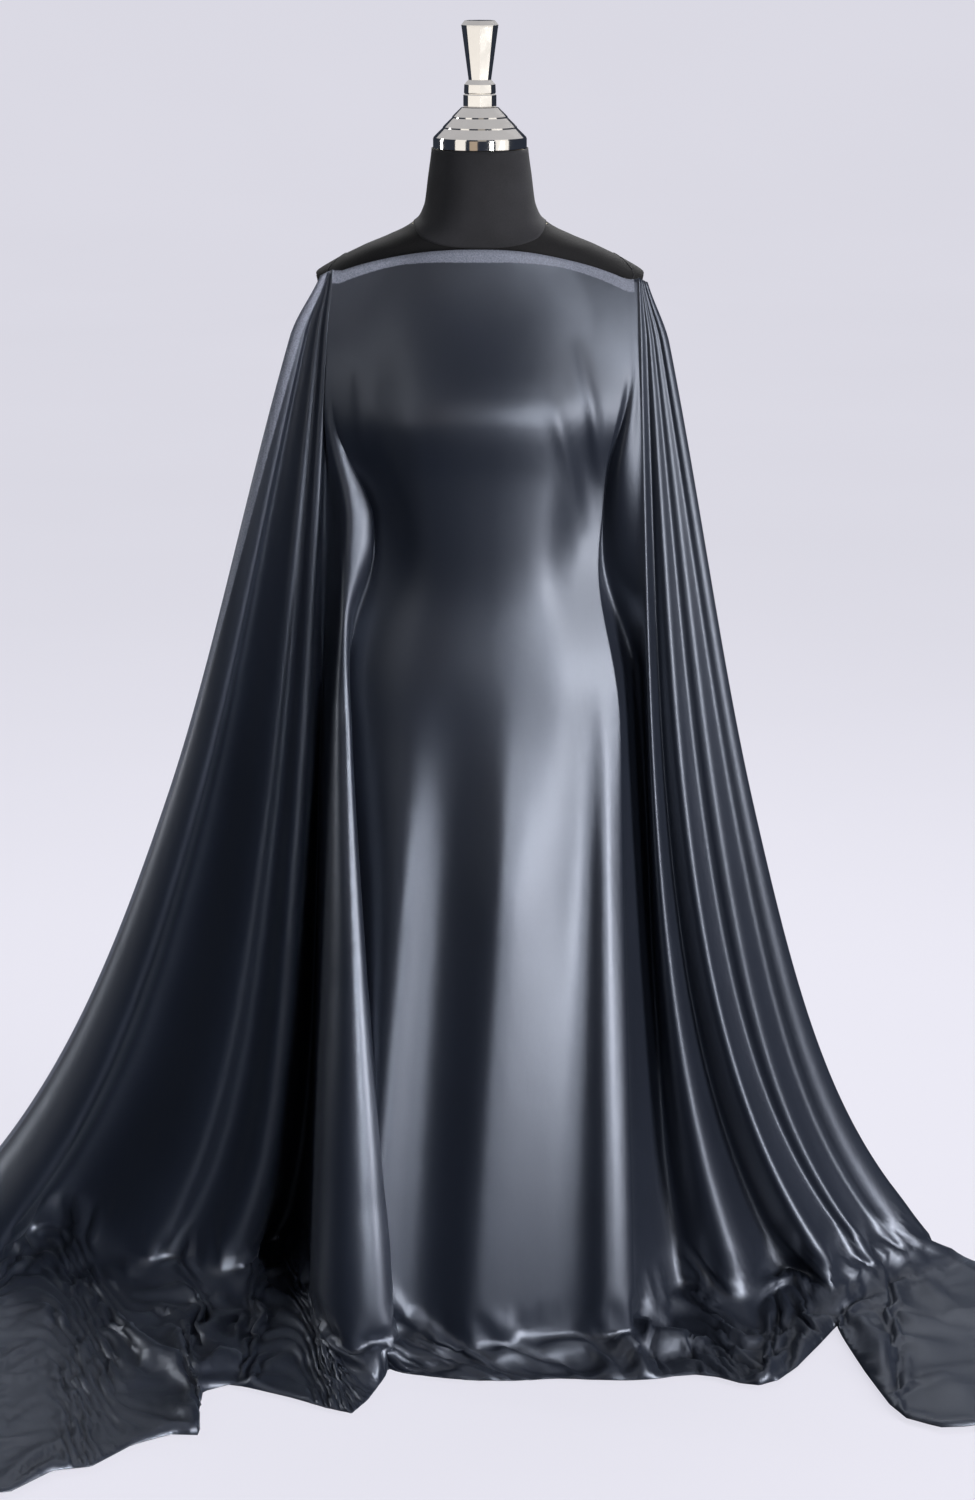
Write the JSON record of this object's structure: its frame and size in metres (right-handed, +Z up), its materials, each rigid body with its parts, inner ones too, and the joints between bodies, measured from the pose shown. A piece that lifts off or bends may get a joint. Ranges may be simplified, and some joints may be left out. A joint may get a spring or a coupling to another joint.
{
  "type": "dress form mannequin",
  "caption": "Cloth-covered dress form torso with a stepped neck cap and finial, on a swivelling telescopic stand, with a wide satin length pinned across the chest.",
  "frame": {"origin": "centre of the base's flat underside, on the floor, on the column's axis", "axes": "+Z up along the column; the form faces -Y, so +X is the wearer's left"},
  "size_m": [1.59, 0.7238, 1.5297],
  "materials": {
    "rubber": "matt black rubber",
    "cast_iron": "painted casting",
    "base_chrome": "polished, spun",
    "column_chrome": "polished tube",
    "cap_chrome": "polished, slightly warm",
    "steel": "zinc plated",
    "brass": "machined",
    "nylon": "natural nylon",
    "knob_plastic": "moulded black",
    "resin": "laminated shell",
    "plywood": "birch plywood",
    "torso_cloth": "black knitted jersey",
    "neck_cloth": "black woven cloth",
    "satin": "dark slate blue satin"
  },
  "bodies": {
    "base": {"base_pad": "rubber", "base_weight": "cast_iron", "base_cover": "base_chrome", "base_bolt": "steel", "base_washer": "steel", "pivot_post": "steel", "thrust_washer": "nylon", "pivot_washer": "steel", "pivot_screw": "steel", "base_flange": "base_chrome"},
    "column": {"lower_pole": "column_chrome", "pivot_bush": "nylon", "guide_bush": "nylon", "height_collar": "column_chrome", "collar_screws": "steel"},
    "clamp_pad": {"clamp_pad": "nylon"},
    "clamp_knob": {"clamp_screw": "steel", "clamp_knob": "knob_plastic"},
    "form": {"upper_pole": "column_chrome", "stop_ring": "column_chrome", "stop_screw": "steel", "pole_plug": "knob_plastic", "pole_socket": "steel", "socket_screws": "steel", "set_screw": "steel", "bottom_board": "plywood", "front_shell": "resin", "back_shell": "resin", "torso_cover": "torso_cloth", "neck_cover": "neck_cloth", "left_arm_plate": "torso_cloth", "right_arm_plate": "torso_cloth", "arm_plate_screws": "steel", "neck_block": "plywood", "neck_insert": "brass", "drape": "satin", "shoulder_pins": "steel"},
    "neck_cap": {"neck_cap": "cap_chrome", "cap_clip": "steel"},
    "finial": {"finial_stud": "steel", "finial_collar": "cap_chrome", "finial_handle": "cap_chrome", "finial_button": "cap_chrome"}
  },
  "joints": [
    {"name": "turn", "type": "hinge", "parent": "base", "child": "column", "pos_m": [0, 0, 0], "axis": [0, 0, 1], "continuous": true},
    {"name": "height", "type": "slide", "parent": "column", "child": "form", "axis": [0, 0, 1], "range_m": [0, 0.2]},
    {"name": "clamp_slide", "type": "slide", "parent": "column", "child": "clamp_pad", "axis": [0, 1, 0], "range_m": [0, 0.0035]},
    {"name": "clamp_turn", "type": "hinge", "parent": "clamp_pad", "child": "clamp_knob", "pos_m": [0, 0.04, 0.518], "axis": [0, 1, 0], "range_deg": [0, 720]},
    {"name": "cap_rise", "type": "slide", "parent": "form", "child": "neck_cap", "axis": [0, 0, 1], "range_m": [0, 0.006]},
    {"name": "finial_turn", "type": "hinge", "parent": "neck_cap", "child": "finial", "pos_m": [0, 0, 1.45], "axis": [0, 0, 1], "range_deg": [0, 1440]}
  ],
  "couplings": [
    {"joint": "clamp_turn", "follows": "clamp_slide", "rad_per_m": 3590},
    {"joint": "finial_turn", "follows": "cap_rise", "rad_per_m": 4188.7}
  ]
}
